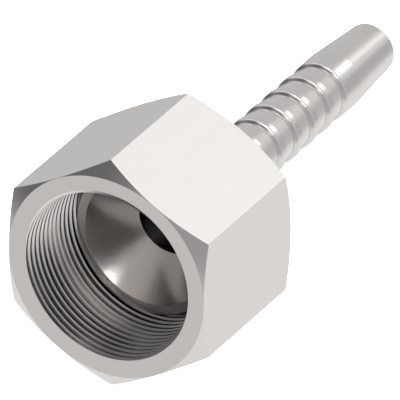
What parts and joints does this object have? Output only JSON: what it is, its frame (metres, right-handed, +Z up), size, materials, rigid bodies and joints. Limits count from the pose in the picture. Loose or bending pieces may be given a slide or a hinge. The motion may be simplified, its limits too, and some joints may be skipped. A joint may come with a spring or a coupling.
{
  "type": "hose nipple",
  "caption": "Stainless steel hose nipple with an inner cone seat, a ridged tail for a push-on hose and a loose hexagon union nut with a fine inside thread.",
  "frame": {"origin": "on the surface that the nut lies on, below the middle of the whole length of the common axis", "axes": "+Y along the common axis of nut and nipple, from the nut's open end to the tail's end; +Z up, away from the flat that the nut lies on"},
  "size_m": [0.0636, 0.13, 0.055],
  "materials": {
    "nut_steel": "stainless steel, milled flats and finely turned ends",
    "nipple_steel": "stainless steel, finely turned and polished"
  },
  "bodies": {
    "nut": {"hex_nut": "nut_steel"},
    "nipple": {"nipple": "nipple_steel"}
  },
  "joints": [
    {"name": "swivel", "type": "hinge", "parent": "nut", "child": "nipple", "pos_m": [0, -0.027, 0.0275], "axis": [0, 1, 0], "continuous": true}
  ]
}
